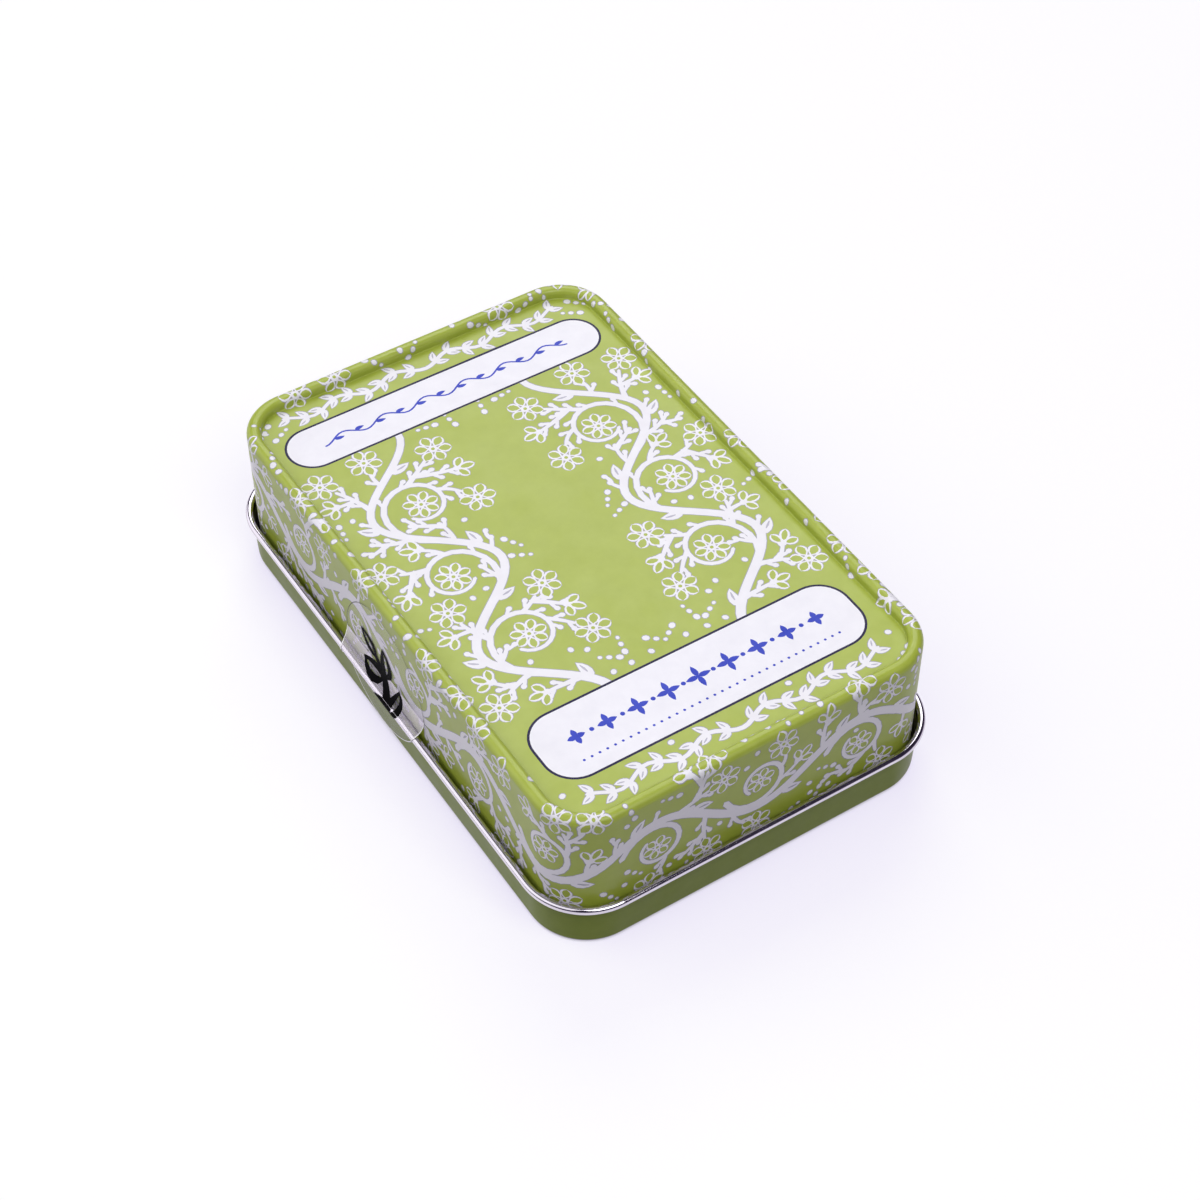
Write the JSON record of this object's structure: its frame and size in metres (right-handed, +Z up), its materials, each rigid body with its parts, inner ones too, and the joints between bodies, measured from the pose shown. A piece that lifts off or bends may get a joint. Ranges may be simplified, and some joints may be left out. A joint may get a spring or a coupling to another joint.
{
  "type": "hinged trinket tin",
  "caption": "Hinged rectangular tin with rounded corners: a shallow tray with a rolled rim and a deep slip-in shell with a raised bead round a sunk panel.",
  "frame": {"origin": "on the floor, under the middle of the tray", "axes": "+X along the tin, -Y towards the seal (the side that opens), +Y towards the hinge, +Z up"},
  "size_m": [0.1124, 0.0751, 0.0292],
  "materials": {
    "coated_tinplate": "satin",
    "bare_tinplate": "bright",
    "white_ink": "satin",
    "clear_film": "gloss",
    "black_ink": "gloss"
  },
  "bodies": {
    "tray": {"base_tray": "coated_tinplate", "seal_lower_half": "clear_film"},
    "shell": {"lid_shell": "coated_tinplate", "seal_upper_half": "clear_film"}
  },
  "joints": [
    {"name": "lid_hinge", "type": "hinge", "parent": "tray", "child": "shell", "pos_m": [0, 0.0352, 0.0111], "axis": [-1, 0, 0], "range_deg": [0, 110]}
  ]
}
